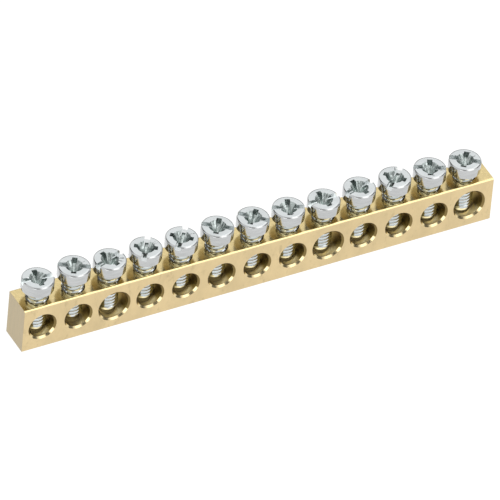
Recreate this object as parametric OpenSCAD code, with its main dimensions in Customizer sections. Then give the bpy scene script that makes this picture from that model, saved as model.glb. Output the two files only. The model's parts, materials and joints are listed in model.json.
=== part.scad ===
// Earth terminal bar: a brass bar with a row of wire ways. Each way is a hole
// from front to back for a conductor, and a screw from above that clamps it.
// The bar lies along X, its wire mouths face -Y, and the screws stand along +Z.
// The origin is the centre of the base face.

/* [Bar] */
// Thickness of the bar from front to back
bar_depth = 6; // [5.6:0.05:9]
// Height of the bar from its base to its top face
bar_height = 9.25; // [8.6:0.05:12]
// Radius along the front top edge, the one that is rounded most
front_edge_r = 0.38; // [0.05:0.01:0.6]
// Radius along the other three long edges
long_edge_r = 0.12; // [0.05:0.01:0.5]
// Distance from one way to the next
way_pitch = 7; // [6.6:0.05:10]
// Plain stretch from the left end to the middle of the first way
left_margin = 3.75; // [3.3:0.05:12]
// Plain stretch from the middle of the last way to the right end
right_margin = 4.55; // [3.3:0.05:12]

/* [Wire holes] */
// Height of the wire holes' axes above the base
wire_axis_z = 4.65; // [4.2:0.05:5]
// Diameter of a standard wire hole
small_hole_d = 4.8; // [4:0.05:5.2]
// Diameter of a wire hole for a thicker conductor
large_hole_d = 5.6; // [4.4:0.05:6]
// Size of the 45 degree chamfer at each wire mouth
mouth_chamfer = 0.33; // [0.05:0.01:0.45]

/* [Screw holes] */
// Gap all round between the screw thread and the wall of its hole
thread_clearance = 0.05; // [0.02:0.01:0.1]
// Gap all round between the screw's plain point and the drill pocket under it
point_clearance = 0.1; // [0.05:0.01:0.2]
// Depth of the drill pocket's straight wall below the floor of the wire hole
pocket_depth = 0.35; // [0.1:0.05:0.8]
// Angle of the drill point that ends the pocket
drill_point_angle = 118; // [100:1:135]

/* [Screw] */
// Outer diameter of the thread
thread_d = 3.95; // [3.4:0.05:4]
// Length of the screw under its head
screw_length = 8.5; // [8:0.05:8.8]
// Length of the plain point below the thread
point_length = 0.9; // [0.5:0.05:1.2]
// Diameter of the plain point
point_d = 3.1; // [2.6:0.05:3.2]
// Diameter of the head
head_d = 5.9; // [5:0.05:6.2]
// Height of the head
head_h = 2.15; // [1.8:0.05:2.8]
// Radius round the top edge of the head
head_edge_r = 0.33; // [0.05:0.01:0.45]

/* [Screw recess] */
// Width of the slot that crosses the head from rim to rim
slot_w = 1.05; // [0.8:0.05:1.3]
// Depth of the slot
slot_depth = 0.8; // [0.5:0.05:1]
// Width of the cross recess's wings
wing_w = 0.95; // [0.7:0.05:1.2]
// Diameter over the wings where they meet the top of the head
wing_span = 4.2; // [3.4:0.05:4.6]
// Depth of the wings' steep outer ends
wing_end_depth = 1.2; // [0.85:0.05:1.5]
// How far each wing's steep end leans in from top to bottom
wing_end_draft = 0.1; // [0.02:0.01:0.2]
// Diameter of the recess's middle where it meets the top of the head
core_d = 3.2; // [2:0.05:3.6]
// Depth of the cross recess
recess_depth = 1.9; // [1.55:0.05:2.1]
// Diameter of the flat floor of the recess
recess_floor_d = 0.9; // [0.5:0.05:1.1]
// Diameter over the wings at the floor of the recess
wing_foot_d = 1.3; // [1.2:0.05:1.8]

/* [Hidden] */
// How far each screw's head stands off the bar, and the turn of its slot from
// the bar's length, way by way from the left.
head_gaps = [2.1, 2.55, 1.8, 2.15, 2.15, 2.3, 2.1, 2, 1.6, 2.05, 2.05, 1.9, 1.45];
slot_turns = [-6, -30, 18, 57, 50, -36, -43, -20, 3, 14, 43, -26, -37];
// Ways, counted from the left, that have the large wire hole
large_ways = [3, 9, 13];
ways = len(head_gaps);

bar_length = left_margin + (ways - 1) * way_pitch + right_margin;
thread_hole_d = thread_d + 2 * thread_clearance;
pocket_d = point_d + 2 * point_clearance;
thread_length = screw_length - point_length;
// The thread's last turn fades into the point over this length
thread_fade = point_length / 3;

round_fn = 96;
cut = 1; // how far a cutting shape runs past the face that it cuts
bite = 0.01; // how far a chamfer's cone reaches past its face
edge_steps = 5;

function way_x(way) = left_margin + (way - 1) * way_pitch - bar_length / 2;
function hole_d(way) = len(search(way, large_ways)) > 0 ? large_hole_d : small_hole_d;
function screw_name(way) = str("clamp_screw_", way < 10 ? "0" : "", way);
function seat_z(way) = bar_height + head_gaps[way - 1];

WAY_NUMBERS = [1 : ways];

// One corner of a bar section, filled outside a rounding of radius r: the
// corner stands at the origin and the section runs off to -X and -Y
module corner_waste(r) {
    difference() {
        translate([-r, -r]) square(r + cut);
        translate([-r, -r]) circle(r = r, $fn = 64);
    }
}

// The drawn bar's cross-section: a rectangle with its four corners rounded
module bar_section() {
    y = bar_depth / 2;
    difference() {
        translate([-y, 0]) square([bar_depth, bar_height]);
        translate([-y, bar_height]) mirror([1, 0]) corner_waste(front_edge_r);
        translate([y, bar_height]) corner_waste(long_edge_r);
        translate([y, 0]) mirror([0, 1]) corner_waste(long_edge_r);
        translate([-y, 0]) rotate(180) corner_waste(long_edge_r);
    }
}

// A wire hole along Y through the bar, chamfered at both mouths
module wire_hole(d) {
    rotate([-90, 0, 0]) {
        cylinder(d = d, h = bar_depth + 2 * cut, center = true, $fn = round_fn);
        for (end = [0, 1]) mirror([0, 0, end])
            translate([0, 0, bar_depth / 2 - mouth_chamfer])
                cylinder(d1 = d, d2 = d + 2 * (mouth_chamfer + bite),
                         h = mouth_chamfer + bite, $fn = round_fn);
    }
}

// The screw's hole from the top face into a wire hole of diameter d, and the
// pocket that the tapping drill leaves in the floor of that wire hole
module screw_hole(d) {
    floor_z = wire_axis_z - d / 2;
    pocket_z = floor_z - pocket_depth;
    cone_h = pocket_d / 2 / tan(drill_point_angle / 2);
    translate([0, 0, wire_axis_z])
        cylinder(d = thread_hole_d, h = bar_height - wire_axis_z + cut, $fn = round_fn);
    translate([0, 0, pocket_z])
        cylinder(d = pocket_d, h = wire_axis_z - pocket_z, $fn = round_fn);
    translate([0, 0, pocket_z - cone_h])
        cylinder(d1 = 0, d2 = pocket_d, h = cone_h, $fn = round_fn);
}

// The brass bar, drilled and tapped for every way
module terminal_bar() {
    color([0.82, 0.68, 0.42]) difference() {
        translate([-bar_length / 2, 0, 0]) rotate([90, 0, 90])
            linear_extrude(bar_length) bar_section();
        for (way = WAY_NUMBERS) translate([way_x(way), 0, 0]) {
            translate([0, 0, wire_axis_z]) wire_hole(hole_d(way));
            screw_hole(hole_d(way));
        }
    }
}

// Half of the screw's outline, with the underside of its head at height 0
module screw_outline() {
    head_r = head_d / 2;
    point_edge = point_length / 5;
    rim = [for (step = [0 : edge_steps]) let (a = 90 * step / edge_steps)
        [head_r - head_edge_r * (1 - cos(a)), head_h - head_edge_r * (1 - sin(a))]];
    polygon(concat(
        [[0, -screw_length],
         [point_d / 2 - point_edge, -screw_length],
         [point_d / 2, -screw_length + point_edge],
         [point_d / 2, -thread_length - thread_fade],
         [thread_d / 2, -thread_length],
         [thread_d / 2, 0],
         [head_r, 0]],
        rim,
        [[0, head_h]]));
}

// One bar of the cross recess, steep at its two ends and sloping in below them
module recess_wing() {
    ends = [[wing_span / 2, head_h + cut],
            [wing_span / 2, head_h],
            [wing_span / 2 - wing_end_draft, head_h - wing_end_depth],
            [wing_foot_d / 2, head_h - recess_depth]];
    rotate([90, 0, 0]) translate([0, 0, -wing_w / 2]) linear_extrude(wing_w)
        polygon(concat(ends, [for (i = [len(ends) - 1 : -1 : 0]) [-ends[i][0], ends[i][1]]]));
}

// The recess for a flat or a cross driver, cut down from the top of the head
module driver_recess() {
    translate([-head_d / 2 - cut, -slot_w / 2, head_h - slot_depth])
        cube([head_d + 2 * cut, slot_w, slot_depth + cut]);
    for (turn = [0, 90]) rotate([0, 0, turn]) recess_wing();
    translate([0, 0, head_h - recess_depth])
        cylinder(d1 = recess_floor_d, d2 = core_d, h = recess_depth, $fn = round_fn);
    translate([0, 0, head_h - bite]) cylinder(d = core_d, h = cut, $fn = round_fn);
}

// The clamp screw of one way, where it stands and turned as it stands
module clamp_screw(way) {
    color([0.78, 0.8, 0.83])
        translate([way_x(way), 0, seat_z(way)]) rotate([0, 0, slot_turns[way - 1]])
            difference() {
                rotate_extrude($fn = round_fn) screw_outline();
                driver_recess();
            }
}

terminal_bar();
for (way = WAY_NUMBERS)
    clamp_screw(way);
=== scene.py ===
"""Dresses the packed earth terminal bar: a drilled, tapped brass bar and its plated screws.

Every new piece is made at its true place in the frame, in metres. Sizes in the
panel are the makers' own sizes of details that the solids leave plain, such as
the screw thread; what the solids do fix is read from the frame.
"""

import json
import math

import bmesh
import bpy
from mathutils import Matrix, Vector


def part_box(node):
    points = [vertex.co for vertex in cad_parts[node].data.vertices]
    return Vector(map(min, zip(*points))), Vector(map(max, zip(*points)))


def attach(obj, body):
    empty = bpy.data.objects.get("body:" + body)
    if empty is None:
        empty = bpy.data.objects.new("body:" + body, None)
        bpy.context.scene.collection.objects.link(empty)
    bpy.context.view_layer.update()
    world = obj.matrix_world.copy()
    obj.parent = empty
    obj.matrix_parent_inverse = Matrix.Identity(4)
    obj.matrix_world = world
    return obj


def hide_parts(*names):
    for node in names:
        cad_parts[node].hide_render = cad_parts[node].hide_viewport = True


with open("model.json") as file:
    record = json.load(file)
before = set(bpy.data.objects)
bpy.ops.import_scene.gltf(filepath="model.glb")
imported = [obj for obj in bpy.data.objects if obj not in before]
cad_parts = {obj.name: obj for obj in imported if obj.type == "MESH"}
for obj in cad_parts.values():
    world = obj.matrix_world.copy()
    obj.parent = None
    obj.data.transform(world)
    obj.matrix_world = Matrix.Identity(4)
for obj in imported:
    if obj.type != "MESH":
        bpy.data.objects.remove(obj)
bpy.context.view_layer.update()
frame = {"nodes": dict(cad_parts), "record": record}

bl_info = {
    "name": "Earth Terminal Bar",
    "version": (1, 0, 0),
    "blender": (4, 5, 0),
    "location": "3D View > Sidebar > Terminal Bar",
    "description": "Makes an earth terminal bar with its clamp screws around a packed frame",
    "category": "Add Mesh",
}

MM = 0.001
BAR_NODE = "terminal_bar"
BAR_LOW, BAR_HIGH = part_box(BAR_NODE)
SCREW_NODES = sorted(name for name in frame["nodes"] if name != BAR_NODE)
WIRE_WAYS = [m for m in frame["record"]["mounts"] if m["name"].startswith("wire_way")]
FULL_TURN = 2 * math.pi
PAST = MM  # how far a cutting tool reaches past the face that it cuts
FACING = 0.9  # a face whose normal has this much along an axis faces that way
THREAD_BITE = 0.02 * MM  # how far a screw's thread reaches into its core
DEPTH = "recess_depth"  # the attribute that says how deep a vertex of a screw lies


def length(name, description, default_mm):
    """A size in the panel, given in millimetres."""
    return bpy.props.FloatProperty(
        name=name, description=description, default=default_mm * MM, min=0, precision=5,
        unit="LENGTH",
    )


def colour(name, description, default):
    """A linear colour in the panel."""
    return bpy.props.FloatVectorProperty(
        name=name, description=description, default=default, min=0, max=1, size=3,
        subtype="COLOR",
    )


def strength(name, description, default):
    """The strength of a light in the panel."""
    return bpy.props.FloatProperty(name=name, description=description, default=default, min=0)


class BarSizes(bpy.types.PropertyGroup):
    """Details of the brass bar."""

    front_edge: length("Front Edge", "Radius along the front top edge, the roundest", 0.38)
    edge_radius: length("Edge Radius", "Radius along the bar's other three long edges", 0.12)
    saw_break: length("Saw Break", "Broken edge round the two sawn ends", 0.05)
    mouth_chamfer: length("Mouth Chamfer", "Chamfer at each wire mouth", 0.33)
    pocket_radius: length("Pocket Radius", "Radius of the tapping drill", 1.65)
    pocket_depth: length("Pocket Depth", "Straight depth of the drill pocket in the floor", 0.35)
    drill_point: bpy.props.FloatProperty(
        name="Drill Point", description="Angle of the drill's point",
        default=math.radians(118), subtype="ANGLE",
    )
    tap_bore: length("Tap Bore", "Radius of the tapped hole at its crests", 2.025)
    tap_groove: length("Tap Groove", "Radius of the tapped hole at the bottom of its grooves", 2.2)
    helix_start: length(
        "Helix Start", "Height over the bar at which each thread's crest is on the right", 0.085
    )
    drawn_colour: colour("Drawn Brass", "Colour of the bar's long faces", (0.69, 0.545, 0.305))
    top_colour: colour("Top Brass", "Colour of the bar's top face", (0.78, 0.63, 0.32))
    # Painted light and shade: the holes' floors get a bright colour and their walls, from a little
    # above the floors, a dark one.
    bore_shade_colour: colour("Drilled Brass", "Colour of the wire holes' walls", (0.31, 0.215, 0.06))
    floor_colour: colour("Hole Floor", "Colour of the wire holes' floors", (0.9, 0.75, 0.43))
    # Painted shade: the drill pockets are coloured dark.
    pocket_shade_colour: colour("Pocket Brass", "Colour of the drill pockets", (0.3, 0.225, 0.09))
    # Painted light and shade on the mouths' chamfers: a bright copy of the brass below, a dark copy
    # on the rest.
    chamfer_light_colour: colour("Mouth Brass", "Colour of the mouths' lower chamfers", (0.78, 0.64, 0.36))
    chamfer_shade_colour: colour("Mouth Burr", "Colour of the rest of those chamfers", (0.22, 0.16, 0.06))
    sawn_colour: colour("Sawn Brass", "Colour of the sawn ends", (0.54, 0.46, 0.315))


class ScrewSizes(bpy.types.PropertyGroup):
    """Details of one clamp screw."""

    thread_pitch: length("Thread Pitch", "Rise of the thread in one turn", 0.7)
    thread_crest: length("Thread Crest", "Radius of the thread at its crest", 1.975)
    thread_root: length("Thread Root", "Radius of the thread at its root", 1.62)
    thread_end: length("Thread End", "Distance from under the head to the thread's end", 7.9)
    screw_length: length("Length", "Length under the head", 8.5)
    point_radius: length("Point Radius", "Radius of the plain point", 1.55)
    point_edge: length("Point Edge", "Broken edge round the point", 0.18)
    neck_radius: length("Neck Radius", "Radius of the plain neck under the head", 1.8)
    neck_length: length("Neck Length", "Length of the plain neck", 0.4)
    head_height: length("Head Height", "Height of the head", 2.15)
    head_edge: length("Head Edge", "Radius round the top edge of the head", 0.33)
    under_edge: length("Under Edge", "Radius round the bottom edge of the head", 0.08)
    slot_width: length("Slot Width", "Width of the slot from rim to rim", 1.05)
    slot_depth: length("Slot Depth", "Depth of the slot", 0.8)
    wing_width: length("Wing Width", "Width of the cross recess's wings", 0.95)
    wing_span: length("Wing Span", "Span of the wings at the top of the head", 4.2)
    wing_depth: length("Wing Depth", "Depth of the wings at their blind ends", 1.2)
    wing_draft: length("Wing Draft", "How much a wing's end leans in over its depth", 0.1)
    wing_foot: length("Wing Foot", "Span of the wings at the recess's floor", 1.3)
    wing_floor: length("Wing Floor", "Width of the wings' narrow floors", 0.25)
    core_width: length("Core Width", "Diameter of the recess's middle at the top", 3.2)
    recess_depth: length("Recess Depth", "Depth of the cross recess", 1.9)
    recess_floor: length("Recess Floor", "Diameter of the recess's flat floor", 0.9)
    pit_width: length("Pit Width", "Diameter of the dark pit at the recess's floor", 1.1)
    pit_depth: length("Pit Depth", "Depth of the top of that pit", 1.65)
    recess_edge: length("Recess Edge", "Rounding of the recess's edges", 0.07)
    plate_colour: colour("Zinc Plate", "Colour of the plating", (0.7, 0.735, 0.74))
    # Painted shade: the head's side and its round edge get a darker copy of the plate.
    side_shade_colour: colour("Turned Plate", "Colour of the head's turned side", (0.52, 0.53, 0.53))
    thread_colour: colour("Thread Plate", "Colour of the plated thread", (0.52, 0.53, 0.53))
    # Painted shade and a painted reflection of the brass bar under the head.
    under_head_shade_colour: colour("Under Head", "Colour of the plating under the head", (0.45, 0.4, 0.27))
    slot_colour: colour("Slot Plate", "Colour of the plating in the slot", (0.75, 0.78, 0.78))
    # Painted shade: the pit at the recess's floor is coloured near black.
    pit_shade_colour: colour("Pit", "Colour of the dark pit at the recess's floor", (0.07, 0.075, 0.07))
    # Painted shade near the recess's top and painted fill light lower in it.
    recess_shade_colour: colour("Recess Plate", "Colour near the recess's top", (0.36, 0.4, 0.39))
    deep_fill_light_colour: colour("Deep Plate", "Colour lower in the recess", (0.72, 0.78, 0.76))


class StudioSettings(bpy.types.PropertyGroup):
    """The floor, the light and the camera."""

    floor_size: length("Floor Size", "Side of the floor", 6000)
    floor_colour: colour("Floor", "Colour of the floor", (0.1, 0.1, 0.1))
    floor_glow: strength("Floor Glow", "Light that the floor gives", 0.97)
    flag_colour: colour("Flags", "Colour of the dark cards that show in the metal", (0.1, 0.1, 0.1))
    sky_strength: strength("Sky", "Brightness all round", 1.0)
    softbox_strength: strength("Softboxes", "Brightness of the softboxes beside the sky's", 2.2)


# ---------------------------------------------------------------- modelling


def deselect():
    """Leaves nothing selected, so that an operator acts on its own piece alone."""
    if bpy.context.object and bpy.context.object.mode != "OBJECT":
        bpy.ops.object.mode_set(mode="OBJECT")
    bpy.ops.object.select_all(action="DESELECT")


def take(piece):
    """Makes piece the one selected and active object."""
    deselect()
    piece.select_set(True)
    bpy.context.view_layer.objects.active = piece


def new_piece(add, name, **where):
    """Adds a primitive by the operator add and names it."""
    deselect()
    add(**where)
    piece = bpy.context.object
    piece.name = piece.data.name = name
    bpy.ops.object.transform_apply(location=True, rotation=True, scale=True)
    return piece


def edit(piece, kind="FACE"):
    """Opens piece in edit mode with nothing selected."""
    take(piece)
    bpy.ops.object.mode_set(mode="EDIT")
    bpy.ops.mesh.select_mode(type=kind)
    bpy.ops.mesh.select_all(action="DESELECT")


def done():
    """Closes edit mode."""
    bpy.ops.object.mode_set(mode="OBJECT")


def pick(piece, kind, test):
    """In edit mode, selects only the verts, edges or faces that pass the test."""
    bpy.ops.mesh.select_all(action="DESELECT")
    mesh = bmesh.from_edit_mesh(piece.data)
    mesh.normal_update()
    for part in getattr(mesh, kind):
        if test(part):
            part.select_set(True)
    bmesh.update_edit_mesh(piece.data)


def extrude(x=0, y=0, z=0):
    """Extrudes the selected faces by this much, in edit mode."""
    bpy.ops.mesh.extrude_region_move(TRANSFORM_OT_translate={"value": (x, y, z)})


def resize(x=1, y=1, z=1, centre=(0, 0, 0)):
    """Scales what is selected about centre, in edit mode."""
    bpy.ops.transform.resize(value=(x, y, z), center_override=centre)


def merge_doubles(gap):
    """Selects all and merges vertices that lie within gap of each other, in edit mode."""
    bpy.ops.mesh.select_all(action="SELECT")
    bpy.ops.mesh.remove_doubles(threshold=gap)


def face_outwards():
    """Selects all and turns all faces outwards, in edit mode."""
    bpy.ops.mesh.select_all(action="SELECT")
    bpy.ops.mesh.normals_make_consistent(inside=False)


def apply_modifier(piece, kind, name, **settings):
    """Adds a modifier with these settings and applies it."""
    take(piece)
    modifier = piece.modifiers.new(name, kind)
    for key, value in settings.items():
        setattr(modifier, key, value)
    bpy.ops.object.modifier_apply(modifier=modifier.name)


def combine(piece, tool, operation):
    """Cuts tool from piece, or joins or crosses the two, and removes tool."""
    apply_modifier(
        piece, "BOOLEAN", operation.title(), operation=operation, object=tool, solver="EXACT",
        material_mode="TRANSFER",
    )
    bpy.data.objects.remove(tool)


def join(pieces):
    """Joins separate shells into the first of them."""
    take(pieces[0])
    for piece in pieces:
        piece.select_set(True)
    bpy.ops.object.join()
    return bpy.context.object


def outline(name, points):
    """A chain of edges through points (radius, height) in the XZ plane."""
    piece = new_piece(bpy.ops.mesh.primitive_plane_add, name, size=MM)
    edit(piece, "VERT")
    bpy.ops.mesh.select_all(action="SELECT")
    bpy.ops.mesh.merge(type="CENTER")
    bpy.ops.transform.translate(value=(points[0][0], 0, points[0][1]))
    for (r_from, z_from), (r_to, z_to) in zip(points, points[1:]):
        step = (r_to - r_from, 0, z_to - z_from)
        bpy.ops.mesh.extrude_vertices_move(TRANSFORM_OT_translate={"value": step})
    done()
    return piece


def turned(name, points, steps=96):
    """A turned solid: the outline spun once round the Z axis."""
    piece = outline(name, points)
    edit(piece, "VERT")
    bpy.ops.mesh.select_all(action="SELECT")
    bpy.ops.mesh.spin(steps=steps, angle=FULL_TURN, center=(0, 0, 0), axis=(0, 0, 1))
    merge_doubles(1e-7)
    face_outwards()
    done()
    return piece


def arc(centre, radius, start, end, steps):
    """Points (radius, height) along an arc, its angles in degrees from the radius axis."""
    angles = [math.radians(start + (end - start) * step / steps) for step in range(steps + 1)]
    return [(centre[0] + radius * math.cos(a), centre[1] + radius * math.sin(a)) for a in angles]


def threaded_rod(
    name, pitch, crest, root, low, high, helix, crest_share=0.28, root_share=0.12, steps=64
):
    """A closed rod with a right-hand thread, at least from low to high.

    The thread's crest passes the height helix at +X. The shares are the parts
    of a turn that its flat crest and its flat root take up.
    """
    flank = (1 - crest_share - root_share) / 2
    heights = [0, root_share, root_share + flank, 1 - flank, 1]
    radii = [root, root, crest, crest, root]
    start = helix - (1 - flank - crest_share / 2) * pitch
    start -= pitch * math.ceil((start - low) / pitch + 1)
    turns = math.ceil((high - start) / pitch)
    piece = outline(name, [(r, start + pitch * h) for r, h in zip(radii, heights)])
    apply_modifier(
        piece, "SCREW", "Thread", screw_offset=pitch, iterations=turns, steps=steps,
        render_steps=steps, use_smooth_shade=True,
    )
    edit(piece, "EDGE")
    merge_doubles(1e-6)
    middle = (low + high) / 2
    for side in (-1, 1):
        pick(piece, "edges", lambda e: e.is_boundary and (e.verts[0].co.z - middle) * side > 0)
        bpy.ops.mesh.extrude_edges_move()
        bpy.ops.mesh.merge(type="CENTER")
    face_outwards()
    done()
    return piece


def smooth(piece, angle=30):
    """Shades piece smooth across edges blunter than angle, in degrees, and flat faces flat."""
    take(piece)
    bpy.ops.object.shade_smooth_by_angle(angle=math.radians(angle))
    apply_modifier(piece, "WEIGHTED_NORMAL", "Flat Faces", keep_sharp=True)


# ---------------------------------------------------------------- materials


class Finish:
    """A node material with one metal shader, whose details are added as nodes."""

    NOISE_LOW, NOISE_HIGH = 0.3, 0.7  # where most of a noise lies

    def __init__(self, name, metal_colour, roughness):
        self.base = Vector(metal_colour)
        self.material = bpy.data.materials.new(name)
        self.material.use_nodes = True
        self.tree = self.material.node_tree
        self.shader = self.tree.nodes["Principled BSDF"]
        self.set(self.shader, "Base Color", (*metal_colour, 1))
        self.set(self.shader, "Metallic", 1)
        self.set(self.shader, "Roughness", roughness)
        self.place = self.node("ShaderNodeTexCoord").outputs["Object"]

    def node(self, kind, **settings):
        """A new node with these settings."""
        made = self.tree.nodes.new(kind)
        for key, value in settings.items():
            setattr(made, key, value)
        return made

    def set(self, node, socket, value):
        """Links value to a node's socket, or sets it there."""
        if isinstance(value, bpy.types.NodeSocket):
            self.tree.links.new(value, node.inputs[socket])
        else:
            node.inputs[socket].default_value = value

    def surface(self, colour=None, roughness=None):
        """Links the metal's colour, its roughness, or both."""
        for socket, value in (("Base Color", colour), ("Roughness", roughness)):
            if value is not None:
                self.set(self.shader, socket, value)

    def stretched(self, scale):
        """Object coordinates multiplied by scale, per metre."""
        mapping = self.node("ShaderNodeMapping")
        self.set(mapping, "Vector", self.place)
        self.set(mapping, "Scale", scale)
        return mapping.outputs["Vector"]

    def noise(self, scale, detail=2.0, rough=0.5):
        """Noise from 0 to 1, its grains counted per metre along each axis."""
        made = self.node("ShaderNodeTexNoise")
        self.set(made, "Vector", self.stretched(scale))
        self.set(made, "Scale", 1.0)
        self.set(made, "Detail", detail)
        self.set(made, "Roughness", rough)
        return made.outputs["Fac"]

    def ramp(self, value, low=NOISE_LOW, high=NOISE_HIGH, low_to=0.0, high_to=1.0):
        """Value from low to high, mapped to low_to and high_to and held there."""
        made = self.node("ShaderNodeMapRange")
        self.set(made, "Value", value)
        self.set(made, "From Min", low)
        self.set(made, "From Max", high)
        self.set(made, "To Min", low_to)
        self.set(made, "To Max", high_to)
        return made.outputs["Result"]

    def mix(self, factor, first, second):
        """Two colours mixed by factor."""
        made = self.node("ShaderNodeMix", data_type="RGBA")
        self.set(made, "Factor", factor)
        for socket, value in (("A", first), ("B", second)):
            slot = next(s for s in made.inputs if s.name == socket and s.type == "RGBA")
            if isinstance(value, bpy.types.NodeSocket):
                self.tree.links.new(value, slot)
            else:
                slot.default_value = (*value, 1)
        return next(s for s in made.outputs if s.type == "RGBA")

    def tint(self, noise, darkest, lightest):
        """The metal's colour, made darker or lighter by noise."""
        return self.mix(self.ramp(noise), self.base * darkest, self.base * lightest)

    def bump(self, height, distance, strength=1.0):
        """Relief of that depth in metres under the shader."""
        made = self.node("ShaderNodeBump")
        self.set(made, "Height", height)
        self.set(made, "Distance", distance)
        self.set(made, "Strength", strength)
        normal = self.shader.inputs["Normal"]
        if normal.is_linked:
            self.tree.links.new(normal.links[0].from_socket, made.inputs["Normal"])
        self.tree.links.new(made.outputs["Normal"], normal)


def drawn_brass(sizes):
    """Satin long faces, with fine cross marks and a few dark specks."""
    finish = Finish("drawn_brass", sizes.drawn_colour, 0.36)
    marks = finish.noise((1400, 1400, 350), detail=3)
    patches = finish.noise((240, 240, 130), detail=4, rough=0.65)
    tone = finish.tint(patches, 0.9, 1.08)
    specks = finish.noise((900, 900, 400), detail=4, rough=0.65)
    tone = finish.mix(finish.ramp(specks, 0.58, 0.74, 0, 0.5), tone, finish.base * 0.6)
    finish.surface(tone, finish.ramp(patches, low_to=0.32, high_to=0.4))
    finish.bump(marks, 0.0025 * MM)
    return finish.material


def top_brass(sizes):
    """The brighter, speckled top face."""
    finish = Finish("top_brass", sizes.top_colour, 0.16)
    speckles = finish.noise((1900, 1900, 900), detail=3, rough=0.6)
    patches = finish.noise((300, 300, 300), detail=2)
    finish.surface(
        finish.tint(speckles, 0.86, 1.08), finish.ramp(patches, low_to=0.13, high_to=0.2)
    )
    finish.bump(patches, 0.002 * MM)
    return finish.material


def sawn_brass(sizes):
    """The two dull sawn ends, with upright saw marks."""
    finish = Finish("sawn_brass", sizes.sawn_colour, 0.55)
    marks = finish.noise((900, 3800, 260), detail=3)
    finish.surface(finish.tint(marks, 0.92, 1.05), finish.ramp(marks, low_to=0.5, high_to=0.62))
    finish.bump(marks, 0.012 * MM)
    return finish.material


def drilled_brass(sizes):
    """Smooth walls of the holes: a painted light makes them bright along their floors and a painted
    shade makes them dark from a little above them.
    """
    finish = Finish("drilled_brass", sizes.bore_shade_colour, 0.36)
    height = finish.node("ShaderNodeSeparateXYZ")
    finish.set(height, "Vector", finish.place)
    # From the floors up, the painted light gives way to the painted shade.
    above = finish.ramp(height.outputs["Z"], 2.3 * MM, 3.1 * MM)
    finish.surface(finish.mix(above, sizes.floor_colour, sizes.bore_shade_colour))
    return finish.material


def zinc_plate(sizes):
    """Bright zinc on the outside of a screw, with a faint uneven grain."""
    finish = Finish("zinc_plate", sizes.plate_colour, 0.13)
    grain = finish.noise((2200, 2200, 2200), detail=3)
    clouds = finish.noise((380, 380, 380), detail=2)
    finish.surface(finish.tint(clouds, 0.95, 1.04), finish.ramp(clouds, low_to=0.1, high_to=0.18))
    finish.bump(grain, 0.0006 * MM)
    finish.bump(clouds, 0.002 * MM)
    return finish.material


def side_plate(sizes):
    """Zinc over the fine turning marks round the head's side, with a darker colour than the top as
    painted shade.
    """
    finish = Finish("side_plate", sizes.side_shade_colour, 0.12)
    marks = finish.noise((500, 500, 3000), detail=3)
    finish.surface(finish.tint(marks, 0.92, 1.06), finish.ramp(marks, low_to=0.08, high_to=0.17))
    finish.bump(marks, 0.001 * MM)
    return finish.material


def slot_plate(sizes):
    """The plating in the slot, which the punch leaves uneven."""
    finish = Finish("slot_plate", sizes.slot_colour, 0.3)
    finish.bump(finish.noise((2000, 2000, 2000)), 0.02 * MM)
    return finish.material


def recess_plate(sizes):
    """The plating on the recess's streaky walls: painted shade makes it dark near the top and a
    painted fill light makes it lighter below.
    """
    finish = Finish("recess_plate", sizes.recess_shade_colour, 0.4)
    grain = finish.noise((2800, 2800, 500), detail=3, rough=0.6)
    depth = finish.node("ShaderNodeAttribute", attribute_name=DEPTH).outputs["Fac"]
    deeper = finish.ramp(depth, 0.3, 0.9)
    streaks = finish.ramp(grain, 0.38, 0.62)
    upper, lower = finish.base, Vector(sizes.deep_fill_light_colour)
    # Deeper down, the painted shade gives way to the painted fill light.
    dark_streaks = finish.mix(deeper, upper * 0.6, lower * 0.7)
    light_streaks = finish.mix(deeper, upper * 1.5, lower * 1.15)
    finish.surface(
        finish.mix(streaks, dark_streaks, light_streaks),
        finish.ramp(grain, low_to=0.5, high_to=0.3),
    )
    finish.bump(grain, 0.08 * MM)
    return finish.material


# ---------------------------------------------------------------- the bar


def bar_blank(sizes, finishes):
    """The sawn length of drawn bar, its long edges rounded and its end edges broken."""
    size = BAR_HIGH - BAR_LOW
    centre = (BAR_HIGH + BAR_LOW) / 2
    blank = new_piece(
        bpy.ops.mesh.primitive_cube_add, "terminal_bar_brass", size=1, location=centre, scale=size
    )

    def is_front_top(edge):
        return all(v.co.y < centre.y and v.co.z > centre.z for v in edge.verts)

    def is_square_and_long(edge):
        along = abs((edge.verts[0].co - edge.verts[1].co).x)
        return along > size.x / 2 and edge.calc_face_angle() > math.radians(60)

    def is_sawn(edge):
        across = len({round(v.co.x / MM, 3) for v in edge.verts}) == 1
        return across and any(abs(f.normal.x) > FACING for f in edge.link_faces)

    edit(blank, "EDGE")
    for test, radius, segments in (
        (is_front_top, sizes.front_edge, 8),
        (is_square_and_long, sizes.edge_radius, 4),
        (is_sawn, sizes.saw_break, 2),
    ):
        pick(blank, "edges", test)
        bpy.ops.mesh.bevel(offset=radius, segments=segments, affect="EDGES")
    done()
    for finish in finishes:
        blank.data.materials.append(finish)
    for face in blank.data.polygons:
        if face.normal.z > 0.5:
            face.material_index = 1
        elif abs(face.normal.x) > FACING:
            face.material_index = 2
    return blank


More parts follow.
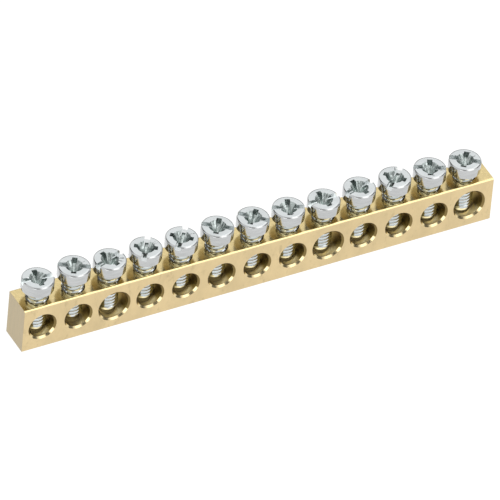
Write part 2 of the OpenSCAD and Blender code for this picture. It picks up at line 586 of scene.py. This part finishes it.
def wire_drill(sizes, way, finishes):
    """What a wire hole takes away: a bore along Y, chamfered at both mouths.

    The finishes are the bore's, the chamfers' lowest part's, a bright copy as painted light, and
    their other parts', a dark copy as painted shade.
    """
    x, _, z = way["pos_m"]
    radius = way["dims"]["r_mm"] * MM
    depth = BAR_HIGH.y - BAR_LOW.y
    drill = new_piece(
        bpy.ops.mesh.primitive_cylinder_add, "wire_drill", vertices=96, radius=radius,
        depth=depth - 2 * sizes.mouth_chamfer, location=(x, 0, z), rotation=(math.pi / 2, 0, 0),
    )
    flare = (radius + sizes.mouth_chamfer) / radius
    edit(drill)
    for side in (-1, 1):
        pick(drill, "faces", lambda f: f.normal.y * side > FACING)
        extrude(y=side * sizes.mouth_chamfer)
        resize(x=flare, z=flare, centre=(x, 0, z))
        extrude(y=side * PAST)
    done()
    for finish in finishes:
        drill.data.materials.append(finish)
    for face in drill.data.polygons:
        if 0.3 < abs(face.normal.y) < FACING:  # a chamfer's face, which slopes
            # Painted light on the chamfer's lower part, painted shade on the rest.
            face.material_index = 1 if face.center.z < z - radius / 2 else 2
    return drill


def tapping_drill(sizes, way):
    """What the tapping drill takes from a wire hole's floor: a short pocket with a pointed end."""
    x, _, z = way["pos_m"]
    depth = way["dims"]["r_mm"] * MM + sizes.pocket_depth
    drill = new_piece(
        bpy.ops.mesh.primitive_cylinder_add, "tapping_drill", vertices=96,
        radius=sizes.pocket_radius, depth=depth, location=(x, 0, z - depth / 2),
    )
    edit(drill)
    pick(drill, "faces", lambda f: f.normal.z < -FACING)
    cone = sizes.pocket_radius / math.tan(sizes.drill_point / 2)
    extrude(z=-cone)
    bpy.ops.mesh.merge(type="CENTER")
    done()
    return drill


def tap(sizes, way, pitch):
    """What the tap takes away above a wire hole: a bore with a thread groove round it."""
    x, _, z = way["pos_m"]
    top = BAR_HIGH.z
    tool = threaded_rod(
        "tap", pitch, sizes.tap_groove, sizes.tap_bore, z, top + PAST, top + sizes.helix_start
    )
    tool.data.transform(Matrix.Translation((x, 0, 0)))
    return tool


def cut_finishes(sizes):
    """The finishes of what is cut: hole wall with painted shade over a painted-light floor, lower
    chamfer in painted light, side chamfer in painted shade, and pocket in painted shade.
    """
    return [
        drilled_brass(sizes),
        Finish("mouth_brass", sizes.chamfer_light_colour, 0.2).material,
        Finish("mouth_burr", sizes.chamfer_shade_colour, 0.35).material,
        # Painted shade in the pockets.
        Finish("pocket_brass", sizes.pocket_shade_colour, 0.4).material,
    ]


class TERMINALBAR_OT_bar(bpy.types.Operator):
    """Make the drilled and tapped brass bar"""

    bl_idname = "terminalbar.bar"
    bl_label = "Brass Bar"

    def execute(self, context):
        sizes = context.scene.terminal_bar_sizes
        wall, *chamfers, pocket_shade = cut_finishes(sizes)
        bar = bar_blank(sizes, [drawn_brass(sizes), top_brass(sizes), sawn_brass(sizes)])
        pitch = context.scene.clamp_screw_sizes.thread_pitch
        wire_drills = [wire_drill(sizes, way, [wall, *chamfers]) for way in WIRE_WAYS]
        combine(bar, join(wire_drills), "DIFFERENCE")
        for tools, finish in (
            ([tapping_drill(sizes, way) for way in WIRE_WAYS], pocket_shade),
            ([tap(sizes, way, pitch) for way in WIRE_WAYS], wall),
        ):
            tool = join(tools)
            tool.data.materials.append(finish)
            combine(bar, tool, "DIFFERENCE")
        smooth(bar)
        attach(bar, "bar")
        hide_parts(BAR_NODE)
        return {"FINISHED"}


# ---------------------------------------------------------------- the screws


def screw_shank(sizes, head_radius):
    """The turned screw before its thread and recess: head, neck, core and plain point."""
    core = sizes.thread_root - THREAD_BITE
    neck_end = -sizes.neck_length
    neck_cone = 0.3 * MM
    fillet = 0.12 * MM
    top, edge, under = sizes.head_height, sizes.head_edge, sizes.under_edge
    points = [
        (0, -sizes.screw_length),
        (sizes.point_radius - sizes.point_edge, -sizes.screw_length),
        (sizes.point_radius, -sizes.screw_length + sizes.point_edge),
        (sizes.point_radius, -sizes.thread_end),
        (core, -sizes.thread_end + THREAD_BITE),
        (core, neck_end - neck_cone),
        (sizes.neck_radius, neck_end),
        *arc((sizes.neck_radius + fillet, -fillet), fillet, 180, 90, 4),
        *arc((head_radius - under, under), under, -90, 0, 4),
        *arc((head_radius - edge, top - edge), edge, 0, 90, 8),
        (0, top),
    ]
    return turned("clamp_screw", points)


def screw_thread(sizes, helix):
    """The screw's thread, faded out at both ends, its crest at height helix on the right."""
    pitch, crest, root = sizes.thread_pitch, sizes.thread_crest, sizes.thread_root
    top = -sizes.neck_length + 0.1 * MM  # a little way onto the neck
    end = -sizes.thread_end + 0.04 * MM  # just inside the core's end
    fade = crest - root
    inner = root - 0.06 * MM  # inside the core
    outer = crest + 0.02 * MM  # outside the thread
    rod = threaded_rod("thread", pitch, crest, root, end, top, helix)
    limit = turned("thread_limit", [
        (0, end),
        (inner, end),
        (outer, end + fade * 0.8),
        (outer, top - fade),
        (inner, top),
        (0, top),
    ])
    combine(rod, limit, "INTERSECT")
    return rod


def paint_head(screw, sizes, head_radius):
    """Gives the head's side with its round edge a darker copy of the plate as painted shade, and
    its underside a dark gold copy as painted shade and a painted reflection of the brass.
    """
    for face in screw.data.polygons:
        out = face.center.to_2d().length
        on_side = out > head_radius - sizes.head_edge and -0.3 < face.normal.z < 0.97
        under_head = out > sizes.neck_radius and face.center.z > -0.2 * MM
        if on_side:
            face.material_index = 1
        elif under_head and face.normal.z < -0.5:
            face.material_index = 2


def slot_tool(sizes):
    """What the slot takes away: a long block, a little narrower at its floor."""
    depth = sizes.slot_depth
    across = 10 * MM
    slot = new_piece(
        bpy.ops.mesh.primitive_cube_add, "slot", size=1,
        location=(0, 0, sizes.head_height - depth / 2), scale=(across, sizes.slot_width, depth),
    )
    edit(slot)
    pick(slot, "faces", lambda f: f.normal.z > FACING)
    extrude(z=0.8 * MM)
    pick(slot, "faces", lambda f: f.normal.z < -FACING)
    resize(y=0.92)
    done()
    return slot


def wing_tool(sizes, turn, past):
    """What two opposite wings take away: steep blind ends, then a slope in to a narrow foot."""
    span, width, depth = sizes.wing_span, sizes.wing_width, sizes.wing_depth
    lower_span = span - 2 * sizes.wing_draft
    narrower = 1 - (1 - sizes.wing_floor / width) * depth / sizes.recess_depth
    wing = new_piece(
        bpy.ops.mesh.primitive_cube_add, "wing", size=1,
        location=(0, 0, sizes.head_height - depth / 2), scale=(span, width, depth),
    )
    edit(wing)
    pick(wing, "faces", lambda f: f.normal.z > FACING)
    extrude(z=past)
    pick(wing, "faces", lambda f: f.normal.z < -FACING)
    resize(x=lower_span / span, y=narrower)
    extrude(z=-(sizes.recess_depth - depth))
    resize(x=sizes.wing_foot / lower_span, y=sizes.wing_floor / (width * narrower))
    done()
    wing.data.transform(Matrix.Rotation(turn, 4, "Z"))
    return wing


def core_tool(sizes):
    """What the recess's tapered middle takes away, to just under the wings' feet."""
    lower = 0.03 * MM
    core = new_piece(
        bpy.ops.mesh.primitive_cone_add, "core", vertices=64, radius1=sizes.recess_floor / 2,
        radius2=sizes.core_width / 2, depth=sizes.recess_depth + lower,
        location=(0, 0, sizes.head_height - sizes.recess_depth / 2 - lower / 2),
    )
    edit(core)
    pick(core, "faces", lambda f: f.normal.z > FACING)
    extrude(z=1.4 * MM)
    done()
    return core


def pit_tool(sizes):
    """What the pit at the recess's floor takes away, to just under the core."""
    wider, lower = 0.02 * MM, 0.05 * MM
    middle = (sizes.recess_depth + sizes.pit_depth) / 2
    return new_piece(
        bpy.ops.mesh.primitive_cone_add, "pit", vertices=32,
        radius1=sizes.recess_floor / 2 + wider, radius2=sizes.pit_width / 2,
        depth=sizes.recess_depth - sizes.pit_depth + lower,
        location=(0, 0, sizes.head_height - middle - lower / 2),
    )


def recess_tools(sizes):
    """What the driver recess takes away. The tools' tops are at different heights."""
    return [
        slot_tool(sizes),
        wing_tool(sizes, 0, PAST),
        wing_tool(sizes, math.pi / 2, PAST + math.pi / 2 * 0.1 * MM),
        core_tool(sizes),
        pit_tool(sizes),
    ]


def round_recess(screw, sizes, head_radius):
    """Rounds the recess's edges where they meet the top of the head."""
    top = sizes.head_height
    inner = head_radius - sizes.head_edge * 1.05
    level = 1e-6

    def is_rim(edge):
        flat = all(abs(v.co.z - top) < level and v.co.to_2d().length < inner for v in edge.verts)
        return flat and len(edge.link_faces) == 2 and edge.calc_face_angle(0) > math.radians(25)

    edit(screw, "EDGE")
    pick(screw, "edges", is_rim)
    bpy.ops.mesh.bevel(offset=sizes.recess_edge, segments=2, affect="EDGES", clamp_overlap=True)
    done()


def mark_depth(screw, sizes):
    """Stores each vertex's depth under the top of the head, as a share of the recess's."""
    marks = screw.data.attributes.new(DEPTH, "FLOAT", "POINT")
    for vertex, mark in zip(screw.data.vertices, marks.data):
        mark.value = (sizes.head_height - vertex.co.z) / sizes.recess_depth


def slot_turn(node, axis, top, sizes, head_radius):
    """The turn of a solid screw's slot about its axis, from the corners of the slot's floor.

    The corners' doubled angles are averaged, because a slot looks the same half a turn on.
    """
    floor_z = top - sizes.slot_depth
    level, rim = 0.01 * MM, 0.99 * head_radius
    cosine = sine = 0.0
    for vertex in frame["nodes"][node].data.vertices:
        x, y = vertex.co.x - axis.x, vertex.co.y - axis.y
        if abs(vertex.co.z - floor_z) < level and math.hypot(x, y) > rim:
            doubled = 2 * math.atan2(y, x)
            cosine += math.cos(doubled)
            sine += math.sin(doubled)
    return math.atan2(sine, cosine) / 2


class TERMINALBAR_OT_screws(bpy.types.Operator):
    """Make one clamp screw and stand a copy of it in every way"""

    bl_idname = "terminalbar.screws"
    bl_label = "Clamp Screws"

    def execute(self, context):
        sizes = context.scene.clamp_screw_sizes
        low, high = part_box(SCREW_NODES[0])
        head_radius = (high.y - low.y) / 2
        blank = screw_shank(sizes, head_radius)
        thread_finish = Finish("thread_plate", sizes.thread_colour, 0.38).material
        # The underside's dark gold finish is painted shade and a painted reflection of the brass.
        under_shade_finish = Finish("under_plate", sizes.under_head_shade_colour, 0.4).material
        for finish in (zinc_plate(sizes), side_plate(sizes), under_shade_finish):
            blank.data.materials.append(finish)
        paint_head(blank, sizes, head_radius)
        recess_finish = recess_plate(sizes)
        # Painted shade: a near-black finish in the pit.
        pit_shade_finish = Finish("pit_plate", sizes.pit_shade_colour, 0.5).material
        inside = {"slot": slot_plate(sizes), "pit": pit_shade_finish}
        for tool in recess_tools(sizes):
            tool.data.materials.append(inside.get(tool.name, recess_finish))
            combine(blank, tool, "DIFFERENCE")
        round_recess(blank, sizes, head_radius)
        helix = BAR_HIGH.z + context.scene.terminal_bar_sizes.helix_start
        for node in SCREW_NODES:
            low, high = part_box(node)
            axis = (low + high) / 2
            under_head = high.z - sizes.head_height
            screw = blank.copy()
            screw.data = blank.data.copy()
            screw.name = screw.data.name = node.replace("clamp_screw", "zinc_screw")
            context.scene.collection.objects.link(screw)
            turn = slot_turn(node, axis, high.z, sizes, head_radius)
            screw.data.transform(Matrix.Rotation(turn, 4, "Z"))
            thread = screw_thread(sizes, helix - under_head)
            thread.data.materials.append(thread_finish)
            combine(screw, thread, "UNION")
            smooth(screw, 35)
            mark_depth(screw, sizes)
            screw.data.transform(Matrix.Translation((axis.x, axis.y, under_head)))
            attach(screw, node)
            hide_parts(node)
        bpy.data.objects.remove(blank)
        return {"FINISHED"}


# ---------------------------------------------------------------- the stage


def matte(name, surface_colour, glow=0):
    """A material with no shine, which may glow white."""
    material = bpy.data.materials.new(name)
    material.use_nodes = True
    shader = material.node_tree.nodes["Principled BSDF"]
    shader.inputs["Base Color"].default_value = (*surface_colour, 1)
    shader.inputs["Roughness"].default_value = 1
    shader.inputs["Specular IOR Level"].default_value = 0
    shader.inputs["Emission Color"].default_value = (1, 1, 1, 1)
    shader.inputs["Emission Strength"].default_value = glow
    return material


def make_floor(settings):
    """A plain floor just under the bar, whose own glow makes it white."""
    drop = 0.01 * MM
    floor = new_piece(
        bpy.ops.mesh.primitive_plane_add, "floor", size=settings.floor_size,
        location=(0, 0, -drop),
    )
    floor.data.materials.append(matte("floor_white", settings.floor_colour, settings.floor_glow))


def make_sky(settings):
    """Even white light from all round."""
    world = bpy.data.worlds.new("studio")
    world.use_nodes = True
    background = world.node_tree.nodes["Background"]
    background.inputs["Color"].default_value = (1, 1, 1, 1)
    background.inputs["Strength"].default_value = settings.sky_strength
    bpy.context.scene.world = world


def direction(azimuth, elevation):
    """The way out from the bar: azimuth from the front to the right, both in degrees."""
    turn, rise = math.radians(azimuth), math.radians(elevation)
    return Vector((
        math.sin(turn) * math.cos(rise),
        -math.cos(turn) * math.cos(rise),
        math.sin(rise),
    ))


def facing(azimuth, elevation, distance):
    """The place and turn of something that faces the bar from there."""
    place = direction(azimuth, elevation) * distance
    return Matrix.Translation(place) @ place.to_track_quat("Z", "Y").to_matrix().to_4x4()


def spread(degrees, distance):
    """The width of a flat card that covers that angle from a distance."""
    return 2 * distance * math.tan(math.radians(degrees) / 2)


def make_softbox(name, azimuth, elevation, across, high, brightness, distance=1.5):
    """A soft rectangular light that covers the given angles as the bar sees it."""
    light = bpy.data.lights.new(name, "AREA")
    light.shape = "RECTANGLE"
    light.size, light.size_y = spread(across, distance), spread(high, distance)
    light.energy = brightness * math.pi * light.size * light.size_y
    lamp = bpy.data.objects.new(name, light)
    lamp.matrix_world = facing(azimuth, elevation, distance)
    lamp.visible_camera = False
    bpy.context.scene.collection.objects.link(lamp)


def make_flag(name, azimuth, elevation, across, high, flag_colour, distance=1.6):
    """A dark card that shows in polished metal alone."""
    flag = new_piece(
        bpy.ops.mesh.primitive_plane_add, name, size=1,
        scale=(spread(across, distance), spread(high, distance), 1),
    )
    flag.data.transform(facing(azimuth, elevation, distance))
    flag.data.materials.append(matte(name, flag_colour))
    flag.visible_camera = flag.visible_diffuse = flag.visible_shadow = False


def make_camera():
    """A long lens from the front left and above, slightly rolled."""
    azimuth, elevation, roll = -30.96, 40.88, math.radians(5.56)
    distance, aside, raised = 2.3492, 0.435 * MM, 4.358 * MM
    ways_middle = Vector((-0.4 * MM, 0, 0))
    back = direction(azimuth, elevation)
    right = Vector((math.cos(math.radians(azimuth)), math.sin(math.radians(azimuth)), 0))
    up = back.cross(right)
    across = right * math.cos(roll) + up * math.sin(roll)
    above = up * math.cos(roll) - right * math.sin(roll)
    data = bpy.data.cameras.new("camera")
    data.sensor_width, data.lens, data.clip_end = 36, 967.5, 10
    camera = bpy.data.objects.new("camera", data)
    turn = Matrix((across, above, back)).transposed().to_4x4()
    place = ways_middle + back * distance + across * aside + above * raised
    camera.matrix_world = Matrix.Translation(place) @ turn
    bpy.context.scene.collection.objects.link(camera)
    bpy.context.scene.camera = camera


# Where each softbox and flag stands (azimuth, elevation) and how wide and how high
# it looks from the bar, all in degrees. A softbox also has its own brightness.
SOFTBOXES = {
    "softbox_right": ((19, 33, 38, 66), 0.4),
    "softbox_top": ((80, 64, 70, 26), 0.3),
    "softbox_left": ((-44, 12, 20, 26), 0.6),
}
FLAGS = {
    "flag_front": (-30, 40, 62, 46),
    "flag_right": (72, 12, 50, 36),
    "flag_back": (149, 14, 110, 20),
    "flag_left": (-148, 38, 84, 60),
}


class TERMINALBAR_OT_stage(bpy.types.Operator):
    """Set up the floor, the light and the camera"""

    bl_idname = "terminalbar.stage"
    bl_label = "Stage"

    def execute(self, context):
        settings = context.scene.terminal_bar_studio
        make_camera()
        make_floor(settings)
        make_sky(settings)
        for name, (spot, brightness) in SOFTBOXES.items():
            make_softbox(name, *spot, brightness * settings.softbox_strength)
        for name, spot in FLAGS.items():
            make_flag(name, *spot, settings.flag_colour)
        context.scene.view_settings.view_transform = "Standard"
        return {"FINISHED"}


class TERMINALBAR_PT_panel(bpy.types.Panel):
    """Lists the steps and the sizes in the sidebar"""

    bl_idname = "TERMINALBAR_PT_panel"
    bl_label = "Terminal Bar"
    bl_space_type = "VIEW_3D"
    bl_region_type = "UI"
    bl_category = "Terminal Bar"

    def draw(self, context):
        for operator, group in (
            ("terminalbar.bar", context.scene.terminal_bar_sizes),
            ("terminalbar.screws", context.scene.clamp_screw_sizes),
            ("terminalbar.stage", context.scene.terminal_bar_studio),
        ):
            box = self.layout.box()
            for name in group.__annotations__:
                box.prop(group, name)
            box.operator(operator)


GROUPS = {
    "terminal_bar_sizes": BarSizes,
    "clamp_screw_sizes": ScrewSizes,
    "terminal_bar_studio": StudioSettings,
}
CLASSES = (TERMINALBAR_OT_bar, TERMINALBAR_OT_screws, TERMINALBAR_OT_stage, TERMINALBAR_PT_panel)


def register():
    """Adds the sizes, the operators and the panel to Blender."""
    for name, group in GROUPS.items():
        bpy.utils.register_class(group)
        setattr(bpy.types.Scene, name, bpy.props.PointerProperty(type=group))
    for made in CLASSES:
        bpy.utils.register_class(made)


def unregister():
    """Takes them out again."""
    for made in reversed(CLASSES):
        bpy.utils.unregister_class(made)
    for name, group in GROUPS.items():
        delattr(bpy.types.Scene, name)
        bpy.utils.unregister_class(group)


def main():
    """Makes the whole scene."""
    register()
    bpy.ops.terminalbar.stage()
    bpy.ops.terminalbar.bar()
    bpy.ops.terminalbar.screws()
    bpy.context.view_layer.update()


if __name__ == "__main__":
    main()
